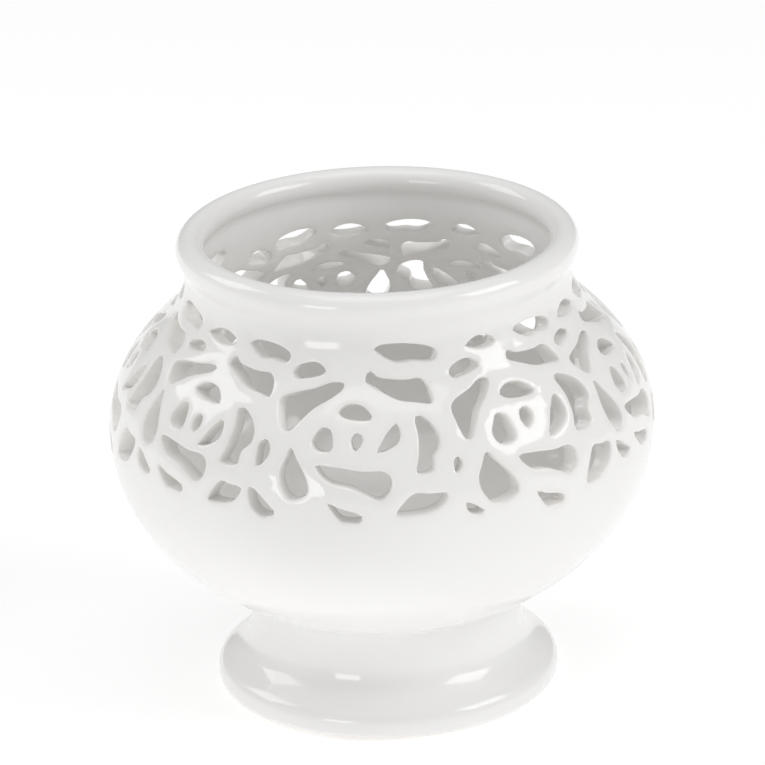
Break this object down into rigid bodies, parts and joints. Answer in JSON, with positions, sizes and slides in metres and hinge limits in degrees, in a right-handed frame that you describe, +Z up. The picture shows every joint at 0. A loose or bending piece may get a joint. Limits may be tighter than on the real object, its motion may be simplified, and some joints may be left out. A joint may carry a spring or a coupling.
{
  "type": "tealight holder",
  "caption": "Footed round ceramic tealight holder with a rolled rim and a shoulder pierced all round with cut roses, holding a loose foil-cup tealight in the well of its foot",
  "frame": {"origin": "On the holder's axis, in the plane it stands on", "axes": "+Z is up along the holder's axis. -Y is the front. The pierced pattern repeats every third of a turn"},
  "size_m": [0.12, 0.12, 0.1053],
  "materials": {
    "white_glaze": "glossy white glaze over white earthenware",
    "cup_foil": "pressed foil, satin",
    "candle_wax": "smooth paraffin wax",
    "tinplate": "stamped tinned steel",
    "wick_cotton": "braided waxed cotton"
  },
  "bodies": {
    "holder": {"pedestal_foot": "white_glaze", "pierced_bowl": "white_glaze", "rolled_rim": "white_glaze"},
    "tealight": {"tealight_cup": "cup_foil", "wax_fill": "candle_wax", "wick_sustainer": "tinplate", "wick": "wick_cotton"}
  },
  "joints": [
    {"name": "tealight_lift", "type": "slide", "parent": "holder", "child": "tealight", "axis": [0, 0, 1], "range_m": [0, 0.105]}
  ]
}
